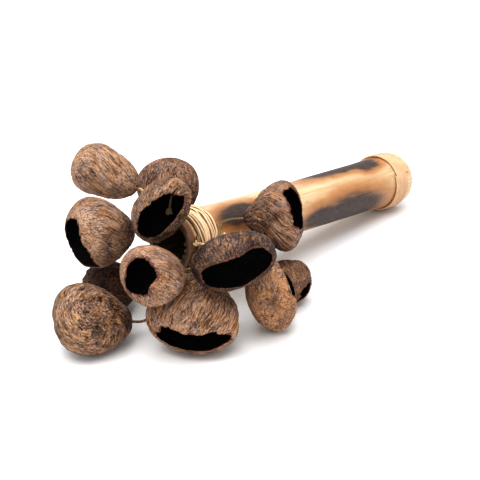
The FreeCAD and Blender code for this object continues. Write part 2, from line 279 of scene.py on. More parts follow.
class Tap:
    """One output socket of a node tree, which Python arithmetic can use."""

    def __init__(self, tree, socket=None):
        self.tree = tree
        self.socket = socket

    def node(self, kind, settings, values, out=0):
        """Add a node of a type: its settings first, then its sockets' values or links."""
        made = self.tree.nodes.new(kind)
        for name, value in settings.items():
            if name == "stops":
                ramp = made.color_ramp.elements
                ramp[0].position, ramp[1].position = value[0][0], value[-1][0]
                for position, colour in value[1:-1]:
                    ramp.new(position)
                for element, (position, colour) in zip(ramp, value):
                    element.color = (*colour, 1.0)
            else:
                setattr(made, name, value)
        for name, value in values.items():
            if isinstance(value, Tap):
                self.tree.links.new(value.socket, made.inputs[name])
            else:
                made.inputs[name].default_value = value
        return Tap(self.tree, made.outputs[out])

    def mark(self, name, out=2):
        """A mark of the piece's own points: out 1 is a vector, out 2 a number."""
        return self.node("ShaderNodeAttribute", {"attribute_name": name}, {}, out)

    def place(self):
        """Object coordinates, in metres."""
        return self.node("ShaderNodeTexCoord", {}, {}, out=3)

    def math(self, operation, first, second=0.0):
        return self.node("ShaderNodeMath", {"operation": operation}, {0: first, 1: second})

    def __add__(self, other):
        return self.math("ADD", self, other)

    def __sub__(self, other):
        return self.math("SUBTRACT", self, other)

    def __rsub__(self, other):
        return self.math("SUBTRACT", other, self)

    def __mul__(self, other):
        return self.math("MULTIPLY", self, other)

    def __pow__(self, other):
        return self.math("POWER", self, other)

    __radd__ = __add__
    __rmul__ = __mul__

    def step(self, low, high):
        """A smooth rise from 0 at low to 1 at high, or a fall where low is the greater."""
        return self.node("ShaderNodeMapRange", {"interpolation_type": "SMOOTHSTEP"},
                         {"Value": self, "From Min": low, "From Max": high})

    def scaled(self, *factors):
        """A vector with each part multiplied by its own factor, or all by one."""
        return self.node("ShaderNodeVectorMath", {"operation": "MULTIPLY"},
                         {0: self, 1: factors if len(factors) == 3 else factors * 3})

    def moved(self, shift):
        """A vector plus another."""
        return self.node("ShaderNodeVectorMath", {"operation": "ADD"}, {0: self, 1: shift})

    def rough(self, detail, seed=0.0, roughness=0.55):
        """Noise read at this vector, about 0.5 on average."""
        return self.node("ShaderNodeTexNoise", {}, {
            "Vector": self.moved((seed, seed * 0.7, -seed * 0.4)), "Scale": 1.0,
            "Detail": detail, "Roughness": roughness})

    def shades(self, stops):
        """A colour for each value, from (value, colour) stops."""
        return self.node("ShaderNodeValToRGB", {"stops": stops}, {"Fac": self})


print("a tap has", sum(not name.startswith("__") for name in vars(Tap)), "methods of its own")

# %% Mixing, opening and closing a finish


def mix(factor, first, second, blend="MIX"):
    """A mix of two colours; the factor may be a number or a socket."""
    tap = next(part for part in (factor, first, second) if isinstance(part, Tap))
    first, second = [part if isinstance(part, Tap) else (*part, 1.0)
                     for part in (first, second)]
    return tap.node("ShaderNodeMix", {"data_type": "RGBA", "blend_type": blend},
                    {0: factor, 6: first, 7: second}, out=2)


def new_finish(name):
    """An empty finish, and a tap to start its nodes from."""
    material = bpy.data.materials.new(name)
    material.use_nodes = True
    material.node_tree.nodes.clear()
    return material, Tap(material.node_tree)


def close_finish(tap, sockets, height=None, depth=0.0):
    """End a finish in a Principled shader, with a bump from a height if there is one."""
    if height is not None:
        bump = tap.node("ShaderNodeBump", {}, {"Strength": 1.0, "Distance": depth,
                                               "Height": height})
        sockets = {**sockets, "Normal": bump}
    shader = tap.node("ShaderNodeBsdfPrincipled", {}, sockets)
    end = tap.tree.nodes.new("ShaderNodeOutputMaterial")
    tap.tree.links.new(shader.socket, end.inputs["Surface"])


print("finishes are ready to write")

# %% [markdown]
# ## Where the shells lie
# Twelve shells lie in a heap round the rim, and no two are alike. One table describes them,
# so that a cord, which ends at its shell, and the shell itself take their places from the
# same row.

# %% Places of the shells
NUT_WALL = 1.9
EYE_STANDOFF = 1.2
CLUSTER_DATUM = np.array([0.0, 0.0, 47.0])

# Each shell: centre; heading and rise of its axis from apex to crown, roll about that axis;
# length, width and thickness; how much fuller the crown is than the apex; then its broken
# opening: tilt from the axis, turn round it, roll; half length, half width; how square its
# outline is, how ragged it is, and where the raggedness starts. Millimetres and degrees.
Nut = namedtuple("Nut", "place turns size fullness mouth_turns mouth square rough start")
NUTS = {number: Nut(*row) for number, row in {
    1: ((3, 54, 76), (124, 24, 115), (45, 33, 32), 0.30,
        (60, 129, -19), (13, 8), 2.2, 0.10, 0.4),
    2: ((44, 43, 55), (59, 56, 164), (43, 41, 34), 0.15,
        (62, 53, 10), (13, 8), 2.2, 0.12, 1.1),
    3: ((-12, -7, 76), (-156, -2, 54), (38, 44, 31), 0.12,
        (14, -27, -4), (16.5, 8.6), 2.8, 0.08, 2.0),
    4: ((-27, 27, 56), (167, 14, 121), (45, 43, 37), 0.25,
        (24, 161, 10), (15.5, 11), 2.4, 0.10, 2.6),
    5: ((-40, -28, 52), (174, 11, -5), (37, 40, 34), 0.20,
        (17, 34, 88), (10, 9), 2.3, 0.12, 3.3),
    6: ((-5, -53, 57), (-128, -8, 15), (37, 51, 34), 0.12,
        (4, 51, 6), (21, 9.5), 2.4, 0.08, 4.1),
    7: ((54, -32, 56), (-40, 0, 65), (39, 44, 36), 0.45,
        (41, 71, 12), (14, 7), 2.4, 0.10, 4.9),
    8: ((-54, 7, 18), (160, 18, 140), (51, 45, 32), 0.25,
        (52, 102, -29), (8, 5), 2.2, 0.14, 5.4),
    9: ((-17, -35, 23), (-156, -43, -12), (51, 55, 35), 0.16,
        (21, 68, 1), (20, 6.5), 2.6, 0.12, 0.9),
    10: ((27, -53, 24), (-130, -3, 104), (38, 48, 31), 0.20,
        (74, -60, -20), (11, 6.5), 2.3, 0.12, 1.7),
    11: ((58, -39, 15), (-80, -4, 20), (34, 31, 29), 0.20,
        (11, -138, 39), (7, 4.5), 2.2, 0.12, 2.3),
    12: ((-15, 34, 16), (198, 8, 0), (40, 36, 32), 0.20,
        (80, 167, -30), (11, 7), 2.2, 0.12, 3.0),
}.items()}


def unit(ways):
    """Vectors divided by their own lengths."""
    return ways / np.linalg.norm(ways, axis=-1, keepdims=True)


def nut_axes(number):
    """Axis from apex to crown, width direction and thickness direction, as three rows."""
    heading, rise, roll = np.radians(NUTS[number].turns)
    axis = np.array([math.cos(rise) * math.cos(heading), math.cos(rise) * math.sin(heading),
                     math.sin(rise)])
    level = unit(np.array([-axis[1], axis[0], 0.0]))
    width = level * math.cos(roll) + np.cross(axis, level) * math.sin(roll)
    return np.stack([axis, width, np.cross(axis, width)])


def nut_centre(number):
    """Middle of a shell: its listed place, measured from the rim."""
    return RIM + (np.array(NUTS[number].place) - CLUSTER_DATUM) * MM


def swing_of(number):
    """The point just outside a shell's apex, where it swings on its cord."""
    return nut_centre(number) \
        - nut_axes(number)[0] * (NUTS[number].size[0] / 2 + EYE_STANDOFF) * MM


print("shell 1 swings at", np.round(swing_of(1), 4))

# %% [markdown]
# ## Twelve cords
# Each shell hangs on a short twisted cord that leaves a hole in the rim. A cord is limp, so
# its path is a gentle NURBS curve over a few points, and Blender itself works the curve out.
# Straight runs with rounded corners would look like bent wire.

# %% Routes of the cords
# Each cord: its first run, straight out of the hole; the points between; its last run,
# straight on to the eye of its shell.
ROUTES = {
    1: (8.4, [(17, 24, 66)], 6.1),
    2: (8.7, [(16.5, 31, 36.5), (29.5, 26, 30)], 4.5),
    3: (4.4, [(1, 8, 75.5), (4.5, 12.5, 80), (12, 11, 80)], 7.3),
    4: (6.4, [(7.5, 29, 54.5), (9.5, 30, 48), (6, 25, 44.5)], 5.4),
    5: (6.2, [(5, -28, 31), (6.5, -30.5, 42), (-3, -32.5, 46)], 8.5),
    6: (6.5, [(9, -27, 49), (15.5, -28.5, 53.5)], 8.2),
    7: (6.6, [(7.5, -30.5, 52.5), (21, -20, 57.5)], 7.0),
    8: (8.1, [(-9.5, 7.5, 17.5), (-17, -4.5, 12)], 5.3),
    9: (7.1, [(8.5, -26.5, 33), (13.5, -26.5, 38), (11, -26.5, 44.5)], 4.8),
    10: (7.6, [(12, -17, 19), (37, -19.5, 24.5)], 7.9),
    11: (10.9, [(9, -5.5, 13), (16.5, -11, 22), (34.5, -5, 20.5), (45.5, -10.5, 18)], 7.3),
    12: (6.6, [(10, 25.5, 26), (17.5, 38.5, 17)], 6.4),
}


STEPS_BETWEEN_POINTS = 40


def hitch_of(number):
    """Centre of the knot outside the culm, where a cord swings."""
    return RIM + (ALONG * HOLE_SETBACK + around_grip(HOLES[number]) * HITCH_PLACE) * MM


def route_of(number):
    """Corner points of a cord's route, from its hitch to its shell."""
    first, between, last = ROUTES[number]
    start, end = hitch_of(number), swing_of(number)
    middle = [RIM + (np.array(point) - CLUSTER_DATUM) * MM for point in between]
    return np.array([start, start + around_grip(HOLES[number]) * first * MM, *middle,
                     end - nut_axes(number)[0] * last * MM, end])


def smooth_line(corners):
    """The smooth line over a route: a NURBS curve of order 3 that starts and ends on its
    end points, read back from Blender as a mesh of points."""
    curve = bpy.data.curves.new("route", "CURVE")
    curve.dimensions = "3D"
    curve.resolution_u = STEPS_BETWEEN_POINTS
    spline = curve.splines.new("NURBS")
    spline.points.add(len(corners) - 1)
    spline.points.foreach_set("co", np.c_[corners, np.ones(len(corners))].ravel())
    spline.order_u = 3
    spline.use_endpoint_u = True
    thread = bpy.data.objects.new("route", curve)
    mesh = bpy.data.meshes.new_from_object(thread)
    line = np.empty(3 * len(mesh.vertices))
    mesh.vertices.foreach_get("co", line)
    bpy.data.objects.remove(thread)
    bpy.data.curves.remove(curve)
    bpy.data.meshes.remove(mesh)
    return line.reshape(-1, 3)


def travelled(line):
    """Distance from the start of a line to each of its points: a running sum of steps."""
    return np.concatenate([[0.0], np.cumsum(np.linalg.norm(np.diff(line, axis=0), axis=1))])


for number in NUTS:
    print("cord", number, "is", round(1000 * travelled(smooth_line(route_of(number)))[-1], 1),
          "mm long")

# %% [markdown]
# A cord's skin is a profile carried along its line: a ring with one round back for each ply,
# turned further and further along the cord, so that the backs wind round it as plies do. Each
# ply is a bundle of fibres, so fine noise that follows the plies roughens them.

# %% Twisted cord
AROUND_CORD = 24
PLIES = 2
HOLLOW_SHARE = 0.30  # how far the radius falls between two plies
CORD_DIAMETER = 1.6
CORD_LAY = 4.4  # length in which a ply goes once round, in a cord and in a knot
KNOT_LAY = 3.6


def carried(line, guide, outline):
    """Rings of an outline carried along a line. The outline's second direction is the guide
    made square to the line, and its first is square to both."""
    tangent = unit(np.gradient(line, axis=0))
    first = unit(np.cross(tangent, guide))
    second = np.cross(first, tangent)
    return line[:, None] + outline[..., :1] * first[:, None] + outline[..., 1:] * second[:, None]


def rounded_end(along, reach):
    """1 along a cord and falling to 0 at both ends, as the height of a quarter circle."""
    near = np.clip(np.minimum(along, along[-1] - along) / reach, 0.02, 1.0)
    return np.sqrt(1 - (1 - near) ** 2)


def twisted(line, thick, lay_length, seed):
    """A tube of twisted cord. Radius = half the thickness, times 0.70 between the plies and
    1.0 on their backs, the cosine of the turn counted from a helix, plus a little noise. The
    rings' guide is the direction that the line runs in least, the last axis of its tangents."""
    along = travelled(line)[:, None]
    turn = np.linspace(0, TURN, AROUND_CORD, endpoint=False)[None, :]
    lay = turn - TURN * along / (lay_length * MM)
    fibre = on_circle(lay, 2.2, along / (2.5 * MM) + 9.0 * seed)
    backs = 1 - HOLLOW_SHARE + HOLLOW_SHARE * np.abs(np.cos(PLIES / 2 * lay)) ** 0.7
    radius = thick / 2 * (backs + 0.07 * layered(fibre, 2, seed))
    radius = radius * rounded_end(along, thick / 2)
    outline = np.stack([radius * np.cos(turn), radius * np.sin(turn)], axis=-1)
    least = np.linalg.svd(np.gradient(line, axis=0))[2][-1]
    # The groove mark is the valley between plies, which the finish darkens as painted shade.
    return carried(line, least, outline), line[[0, -1]], {
        "lay": fibre, "groove": (1 - backs) / HOLLOW_SHARE}


print("a twisted cord has", AROUND_CORD, "points in each ring")

# %% [markdown]
# Three knots hold a cord: inside the culm, outside it and inside its shell, with a short stub
# through each wall. A knot could be a ball, but light would show that at once. A trefoil is
# the curve of a real overhand knot, so the same twisted tube is carried along one.

# %% Knots and stubs
KNOT_POINTS = 150
STUB_POINTS = 24
KNOT_GAP = 0.08  # radians left open where a knot's ends tuck in


def knot(centre, axis, reach, rise, thick, seed):
    """An overhand knot seen end on: a trefoil, sin t + 2 sin 2t across, cos t - 2 cos 2t up
    and -sin 3t along its axis, left open by a small gap. Millimetres, apart from the centre."""
    along = unit(axis)
    across = unit(np.cross(along, [0.3, 0.2, 1.0]))
    up = np.cross(along, across)
    turn = np.linspace(KNOT_GAP, TURN - KNOT_GAP, KNOT_POINTS)[:, None]
    line = centre + reach * MM / 3 * ((np.sin(turn) + 2 * np.sin(2 * turn)) * across
                                      + (np.cos(turn) - 2 * np.cos(2 * turn)) * up) \
        - rise * MM * np.sin(3 * turn) * along
    return twisted(line, thick * MM, KNOT_LAY, seed)


def stub(start, end, seed):
    """A straight length of cord, from even points."""
    share = np.linspace(0, 1, STUB_POINTS)[:, None]
    return twisted(start * (1 - share) + end * share, CORD_DIAMETER * MM, CORD_LAY, seed)


print("a knot is carried along", KNOT_POINTS, "points")

# %% [markdown]
# ## Fibre finishes
# Cord, bast and cane are all plant fibre, dried differently and with more or less painted
# shade in their grooves, so one function makes their finishes. Colour reads the lay, a place
# that winds with the plies; a pattern on Object coordinates would cut across them.

# %% Fibre finishes


def cord_finish(name, pale, dark, shade_and_tone=0.3):
    """Dry plant fibre: colour follows the fibres that wind with the lay, the grooves between
    plies are darkened as painted shade, and a bump from the same fibres breaks the light."""
    material, tap = new_finish(name)
    lay, groove = tap.mark("lay", 1), tap.mark("groove")
    fibre = lay.scaled(3.0, 3.0, 0.8).rough(3.0)
    patch = tap.place().scaled(170.0).rough(2.0)
    # The groove mark darkens the tone as painted shade, as strongly as the finish's last number
    # says.
    tone = (fibre * 0.7 + patch * 0.3 - groove * shade_and_tone).step(0.12, 0.60)
    close_finish(tap, {"Base Color": mix(tone, dark, pale), "Roughness": 0.8,
                       "Specular IOR Level": 0.25}, fibre - groove * 0.5, 0.15 * MM)
    return material


# The last number of a finish is how strongly its groove mark is darkened as painted shade; 0.3 if
# none is given.
STRAW = cord_finish("straw_cord", (0.80, 0.60, 0.38), (0.36, 0.19, 0.085))
BAST = cord_finish("straw_bast", (0.86, 0.62, 0.40), (0.15, 0.075, 0.035), 0.46)
OLIVE = cord_finish("olive_cord", (0.26, 0.185, 0.105), (0.055, 0.034, 0.018))
BAND = cord_finish("straw_band", (0.66, 0.46, 0.30), (0.32, 0.18, 0.095), 0.34)
print("fibre finishes:", STRAW.name, BAST.name, OLIVE.name, BAND.name)

# %% [markdown]
# ## Tying the cords
# A cord bends at its knots, so the bodies part there: its hitch knot swings with it, its
# stopper knot moves with the shell, and what is inside the culm stays with the grip.

# %% Cords, hitch knots and stopper knots
PALE_CORDS = (1, 3, 6, 9)
STOPPER_RADIUS = 2.5
STOPPER_DROP = {3: 8.0}  # shell 3's knot hangs loose inside it; others hang by 1

thick = CORD_DIAMETER * MM
for number in NUTS:
    line = smooth_line(route_of(number))
    finish = STRAW if number in PALE_CORDS else OLIVE
    label = "%02d" % number
    cord = make_piece("cord_%s_twisted" % label, [twisted(line, thick, CORD_LAY, number)],
                      "cord_%s_body" % label, finish, ["cord_" + label])
    hitch_of(number)
    make_piece("hitch_knot_%s_tied" % label,
               [knot(hitch_of(number), around_grip(HOLES[number]), 1.45, 0.62, 1.35,
                     number + 20)],
               "cord_%s_body" % label, finish, ["hitch_knot_" + label])
    swing, axis = swing_of(number), nut_axes(number)[0]
    seat = swing + axis * (EYE_STANDOFF + NUT_WALL + KNOT_CLEARANCE + STOPPER_RADIUS) * MM
    low = seat + unit(axis * 0.5 - np.array([0.0, 0.0, 1.0])) * STOPPER_DROP.get(number, 1.0) * MM
    make_piece("stopper_knot_%s_tied" % label,
               [stub(swing - axis * 0.7 * MM, seat, number + 40),
                stub(seat, low, number + 120),
                knot(low, axis, 1.75, 0.85, 1.5, number + 60)],
               "nutshell_%s_body" % label, finish, ["stopper_knot_" + label])
print(len(NUTS), "cords are tied")

# %% Anchor knots inside the culm
anchors = []
for number in NUTS:
    outward = around_grip(HOLES[number])
    seat = RIM + (ALONG * HOLE_SETBACK + outward * (RIM_RADIUS - CULM_WALL - 2.1)) * MM
    anchors.append(stub(seat, hitch_of(number) - outward * 0.5 * MM, number + 80))
    anchors.append(knot(seat, outward, 1.3, 0.7, 1.3, number + 100))
make_piece("anchor_knots_tied", anchors, "handle", OLIVE, ["anchor_knots"])
print(len(anchors), "tubes hold the cords inside the culm")

# %% [markdown]
# ## Bindings
# Split cane is wound close round both ends of the grip so that the culm doesn't split. Each
# winding is two strands side by side, and each strand is one long helix. Its outline is
# flattened, with fine ribs, and noise lets the turns wander, ride up and leave small gaps.
# Rings stacked along the grip would be simpler, but they never wander into each other.

# %% Strands on the grip
AROUND_STRAND = 16
STEPS_IN_TURN = 150
PITCH = 1.95


def grip_place(place, angle, height):
    """Points on the grip: along it, round it, and at a height over the culm's skin."""
    reach = (culm_radius(place) + height)[..., None]
    return RIM + (ALONG * place[..., None] + around_grip(angle) * reach) * MM


def strand_tube(place, angle, height, wide, high, seed, shade_and_tone):
    """A tube along the grip's skin: an ellipse, wide along the skin and high off it, with
    ribs where noise in its own turn and length raises it."""
    line = grip_place(place, angle, height)
    along = travelled(line)[:, None]
    turn = np.linspace(0, TURN, AROUND_STRAND, endpoint=False)[None, :]
    fibre = on_circle(turn, 2.6, along / (9.0 * MM) + 7.0 * seed)
    ribs = 1 + 0.16 * layered(fibre, 2, seed)
    ribs = ribs * rounded_end(along, 0.8 * MM)
    outline = np.stack([wide / 2 * MM * ribs * np.cos(turn),
                        high / 2 * MM * ribs * np.sin(turn)], axis=-1)
    # The groove mark is painted shade: darker on the strand's underside against the culm and
    # where its ribs dip, plus the amount passed in for the whole strand.
    groove = np.clip(0.42 + shade_and_tone - 0.75 * np.sin(turn) - 1.5 * (ribs - 1), 0, 1)
    return carried(line, around_grip(angle), outline), line[[0, -1]], {
        "lay": fibre, "groove": groove}


def winding(start, turns, seed, shade_and_tone=0.0):
    """Two strands side by side, half a pitch apart: each a helix that wanders by noise."""
    turned = np.linspace(0.0, turns - 1.0, STEPS_IN_TURN * (turns - 1))
    zero = np.zeros_like(turned)
    tubes = []
    for strand in range(2):
        wander = layered(np.stack([turned * 5.0, zero, zero], axis=-1), 2, seed + strand)
        lift = layered(np.stack([turned * 4.0, zero + 5, zero], axis=-1), 2, seed + strand)
        place = start + PITCH * (0.28 + 0.5 * strand + turned) + 0.20 * wander
        tubes.append(strand_tube(place, 360 * turned + 150, 0.80 + 0.18 * lift,
                                 0.98, 1.5, seed + strand, shade_and_tone))
    return tubes


print("a strand has", STEPS_IN_TURN, "rings in each turn")

# %% [markdown]
# The front binding is loose and rough: a few strands cross its turns at a slant, in two
# groups that lean opposite ways, and that locks it. The rear one is close and even.

# %% Both bindings
FRONT_START = 4.5
FRONT_TURNS = 10
CROSSINGS = 18
FIRST_GROUP = 4  # rows of crossings that lean one way; the others lean the other way
REAR_START = 206.5
REAR_TURNS = 8


def crossing(start, length, angle, sweep, seed, wide):
    """A strand over the turns: it drifts across them while it goes part of the way round,
    and dips between the turns at both of its ends."""
    share = np.linspace(0, 1, STEPS_IN_TURN)
    dip = np.sin(math.pi * share) ** 0.35
    drift = 0.9 * noise(np.stack([share * 5, share * 0 + seed, share * 0], axis=-1), seed)
    return strand_tube(start + length * share + drift * dip, angle + sweep * share,
                       0.7 + 1.15 * dip, wide, 0.9, seed, 0.25 * math.sin(2.9 * seed))


# The front winding lies under the crossings, so it gets 0.75 more painted shade, and the gaps
# between the crossings look dark.
front = winding(FRONT_START, FRONT_TURNS, 3, 0.75)
for strand in range(CROSSINGS):
    row, half = strand // 2, strand % 2
    slant, set_back = (4.6, 0.0) if row < FIRST_GROUP else (-1.8, 1.8)
    front.append(crossing(FRONT_START + 0.2 + 2.0 * row + set_back, slant,
                          56 + 180 * half + 10 * math.sin(2.3 * strand), 122, 11 + strand,
                          1.35 + 0.25 * math.sin(1.7 * strand)))
make_piece("front_binding_wound", front, "handle", BAST, ["front_binding"])
make_piece("rear_binding_wound", winding(REAR_START, REAR_TURNS, 5), "handle",
           BAND, ["rear_binding"])
print("bindings have", FRONT_TURNS, "and", REAR_TURNS, "turns, and", CROSSINGS, "crossings")

# %% [markdown]
# ## Scorched bamboo
# The CAD culm has the right shape, so it only gets a finish. Bamboo is pale and glossy, its
# grain runs straight along it, and a flame has browned patches of it: grey-brown inside,
# orange at the border where the skin was only toasted. Painted patches would need a picture;
# here each is a soft distance from its own centre, bent by noise so that its border creeps
# along the grain. A Mapping node turns Object coordinates into places along the grip.

# %% Scorched patches
PATCHES = [  # place along the grip, degrees round it, half length and half width
    (49, 131, 22, 9), (164, 78, 44, 8.5), (188, 94, 17, 8), (158, 206, 42, 15),
    (124, 196, 20, 9), (92, -62, 24, 10), (150, -20, 30, 8), (72, 20, 16, 8)]
SKIN_RADIUS = 17.3
PATCH_BLEND = 0.35


def heat_distance(place):
    """How far a place is from the nearest patch: 1 is a patch's own size. The distances of
    all patches are joined by a smooth minimum, after slow noise has bent the place."""
    slow = place.scaled(0.11, 0.20, 0.20)
    creep = slow.node("ShaderNodeTexNoise", {}, {"Vector": slow, "Scale": 1.0,
                                                 "Detail": 3.0}, out=1)
    bent = place.moved(creep.moved((-0.5, -0.5, -0.5)).scaled(11.0, 4.0, 4.0))
    nearest = None
    for along, angle, half_length, half_width in PATCHES:
        turn = math.radians(angle)
        centre = (along / half_length, SKIN_RADIUS * math.cos(turn) / half_width,
                  SKIN_RADIUS * math.sin(turn) / half_width)
        stretched = bent.scaled(1 / half_length, 1 / half_width, 1 / half_width)
        near = bent.node("ShaderNodeVectorMath", {"operation": "DISTANCE"},
                         {0: stretched, 1: centre}, out=1)
        nearest = near if nearest is None else near.node(
            "ShaderNodeMath", {"operation": "SMOOTH_MIN"},
            {0: nearest, 1: near, 2: PATCH_BLEND})
    return nearest


print(len(PATCHES), "scorched patches")

# %% Bamboo finish


def bamboo_finish():
    """Pale cane with toasted patches and dark specks along the grain; a rim and cut end darker,
    partly their own colour and partly painted shade; and a dry bore painted dark as painted
    shade.
    """
    material, tap = new_finish("scorched_bamboo")
    place = tap.node("ShaderNodeMapping", {"vector_type": "TEXTURE"},
                     {"Vector": tap.place(), "Location": tuple(RIM),
                      "Rotation": (0.0, LEAN, 0.0)}).scaled(1 / MM)
    along, aside, over = [place.node("ShaderNodeSeparateXYZ", {}, {"Vector": place}, out=axis)
                          for axis in range(3)]
    reach = (aside * aside + over * over) ** 0.5
    heat = heat_distance(place)
    grain = place.scaled(0.035, 1.1, 1.1).rough(3.0)
    wide_grain = place.scaled(0.012, 0.35, 0.35).rough(2.0, 5.0)
    cane = (grain * 0.5 + wide_grain * 0.5).shades([
        (0.30, (0.42, 0.245, 0.12)), (0.50, (0.60, 0.425, 0.25)), (0.68, (0.70, 0.54, 0.35))])
    toasted = (1.67 - heat + (grain - 0.5) * 0.30).step(0.0, 0.62)
    burnt = (1.16 - heat + (grain - 0.5) * 0.30).step(0.0, 0.52)
    soot = place.scaled(0.25, 0.8, 0.8).rough(4.0, 2.0)
    colour = mix(toasted, cane, (0.40, 0.185, 0.062))
    colour = mix(burnt, colour, mix(soot.step(0.30, 0.75), (0.040, 0.023, 0.020),
                                    (0.075, 0.047, 0.040)))
    speck = place.scaled(0.16, 0.75, 0.75).rough(5.0, 9.0).step(0.665, 0.72)
    colour = mix(speck * 0.75, colour, (0.12, 0.075, 0.045))
    # The rim band is darker: partly the cut rim's own colour, partly painted shade of the shells
    # over the rim.
    rim_band_and_shade = 1 - along.step(FRONT_START - 0.6, FRONT_START + 1.2)
    colour = mix(rim_band_and_shade * (0.80 + grain * 0.3), colour, (0.17, 0.066, 0.022))
    # The bore is painted dark, as painted shade inside the culm.
    inside = 1 - reach.step(RIM_RADIUS - 2.1, RIM_RADIUS - 1.2)
    bore_shade = (grain * 0.7 + soot * 0.3).shades([(0.35, (0.060, 0.036, 0.018)),
                                              (0.65, (0.180, 0.112, 0.058))])
    # The cut end is darker still, partly its own colour and partly painted shade.
    colour = mix((1 - along.step(0.1, 0.7)) * 0.8, colour, (0.15, 0.072, 0.032))
    colour = mix(inside, colour, bore_shade)
    close_finish(tap, {
        "Base Color": colour, "Coat Weight": (1 - inside) * (1 - burnt * 0.8) * 0.35,
        "Coat Roughness": 0.18,
        "Roughness": 0.34 + inside * 0.45 + burnt * 0.22 + (grain - 0.5) * 0.15,
        "Specular IOR Level": 0.5}, grain + soot * 0.3, 0.05 * MM)
    return material


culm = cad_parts["culm"]
culm.data.materials.clear()
culm.data.materials.append(bamboo_finish())
print("bamboo has", len(culm.data.materials[0].node_tree.nodes), "nodes")

# %% [markdown]
# ## Nutshells: the egg and its broken opening
# A shell is a hollow egg with a piece broken out. A boolean cut would leave a knife-clean
# edge. Here the rows of the surface start on the broken outline itself and run over the skin
# to the far side, so the edge can be as ragged as a fracture. Every point is found along a
# ray from the middle of the nut, by halving the distance to the egg's skin until it is met.

# %% The egg
HALVINGS = 34
PROFILE_TURNS = np.linspace(0, math.pi, 721)


def skin_reach(starts, ways, halves, fullness):
    """Distance along each way from its start, inside an egg, to the egg's skin. A point is
    inside while hypot(y/width, z/thickness) is below sqrt(1 - x^2)(1 + fullness x), with x
    as a share of the half length, over that curve's highest value."""
    widest = np.max(np.sin(PROFILE_TURNS) * (1 - fullness * np.cos(PROFILE_TURNS)))
    near = np.zeros(ways.shape[:-1])
    far = np.full(ways.shape[:-1], 3.0 * max(halves))
    for _ in range(HALVINGS):
        middle = (near + far) / 2
        point = (starts + ways * middle[..., None]) / halves
        share = np.clip(point[..., 0], -1, 1)
        allowed = np.sqrt(1 - share ** 2) * (1 + fullness * share) / widest
        outside = np.hypot(point[..., 1], point[..., 2]) >= allowed
        far = np.where(outside, middle, far)
        near = np.where(outside, near, middle)
    return (near + far) / 2


def egg_skin(number, ways, inset=0.0):
    """Where unit ways from the middle of a shell meet its egg, or one an inset smaller."""
    halves = np.array(NUTS[number].size) / 2
    return ways * skin_reach(np.zeros(3), ways, halves - inset, NUTS[number].fullness)[..., None]


print("shell 1 reaches", np.round(egg_skin(1, np.eye(3)[:1])[0], 2), "mm to its crown")

# %% [markdown]
# The opening's outline is a squared ellipse with waves, pushed out on to the skin, shrunk
# where it would leave the egg, and widened a little because a broken edge crumbles.

# %% The broken outline
FRAYED = {4: 1.12, 5: 1.2, 6: 1.12}  # how much wider an edge has crumbled; others 1.1
SHRINK = 0.97


def opening_axes(number):
    """Outward, long and short directions of the opening, in the nut's own axes."""
    tilt, turn, roll = np.radians(NUTS[number].mouth_turns)
    outward = np.array([math.cos(tilt), math.sin(tilt) * math.cos(turn),
                        math.sin(tilt) * math.sin(turn)])
    first = unit(np.array([0.0, 1.0, 0.0]) - outward * outward[1])
    second = np.cross(outward, first)
    long_way = first * math.cos(roll) + second * math.sin(roll)
    return outward, long_way, np.cross(outward, long_way)


def outline_slopes(number, turn):
    """The broken outline, as slopes from the middle of the nut along the long and the short
    way: a squared ellipse times waves, shrunk where it would leave the egg, over its depth."""
    nut, (outward, long_way, short_way) = NUTS[number], opening_axes(number)
    square, start, halves = nut.square, nut.start, np.array(nut.size) / 2
    blunt = (np.abs(np.cos(turn)) ** square + np.abs(np.sin(turn)) ** square) ** (-1 / square)
    waves = (np.sin(2 * turn + start) + np.sin(3 * turn + 1.7 * start)
             + 0.8 * np.sin(5 * turn + 2.3 * start)) / 2
    share = blunt * (1 + nut.rough * waves)
    flat = np.outer(nut.mouth[0] * share * np.cos(turn), long_way) \
        + np.outer(nut.mouth[1] * share * np.sin(turn), short_way)
    size = np.linalg.norm(flat, axis=1)
    limit = skin_reach(np.zeros(3), flat / size[:, None], halves, nut.fullness)
    shrinks = np.ceil(np.clip(np.log(size / limit) / -math.log(SHRINK), 0, None))
    flat = flat * (SHRINK ** shrinks)[:, None]
    depth = skin_reach(flat, np.broadcast_to(outward, flat.shape), halves, nut.fullness)
    depth = np.maximum(depth, 0.4 * np.linalg.norm(flat, axis=1)) / FRAYED.get(number, 1.1)
    return flat @ long_way / depth, flat @ short_way / depth


for number in (3, 6):
    along_way, across_way = outline_slopes(number, np.array([0.0, TURN / 4]))
    print("shell", number, "opens", np.round(np.degrees(np.arctan(along_way[0]))), "by",
          np.round(np.degrees(np.arctan(across_way[1]))), "degrees")

# %% [markdown]
# ## Nutshells: fibre, dents and pleats
# The husk's fibres run from apex to crown like meridians, with a little swirl. So each point
# gets fibre coordinates: two that go round the nut on a circle and one along it. Noise read
# there, finely round and coarsely along, becomes fibres. Dents and pleats move the whole
# wall; fibres work only into the outer skin. All of it goes inwards, because the shells lie a
# fraction of a millimetre apart.

